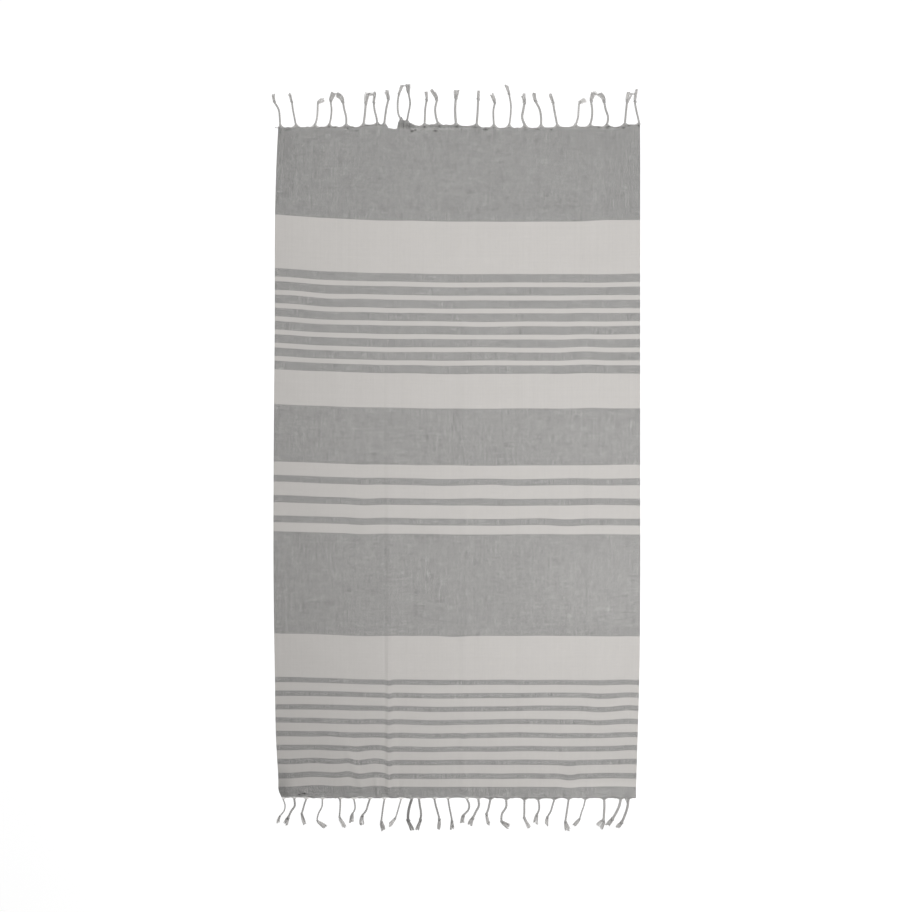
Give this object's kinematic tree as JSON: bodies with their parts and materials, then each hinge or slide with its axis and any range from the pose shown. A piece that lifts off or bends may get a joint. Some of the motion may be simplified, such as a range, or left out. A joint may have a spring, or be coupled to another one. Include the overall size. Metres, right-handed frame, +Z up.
{
  "type": "hammam towel",
  "caption": "Flat-woven striped hammam towel laid out flat, with twisted and knotted tassels along both ends.",
  "frame": {"origin": "under the middle of the whole towel, fringe included, on the surface that it lies on", "axes": "+X across the cloth from its left selvedge to its right, +Y along it towards the far end, the one with the plain wide grey band, +Z up out of its face"},
  "size_m": [1.0054, 2.0476, 0.0081],
  "materials": {
    "cloth": "plain flat weave of matt cotton, pale warp, grey and pale weft in cross stripes",
    "fringe_yarn": "matt pale cotton warp yarn, twisted into cords"
  },
  "bodies": {
    "root": {"cloth": "cloth", "fringe_far": "fringe_yarn", "fringe_near": "fringe_yarn"}
  },
  "joints": []
}
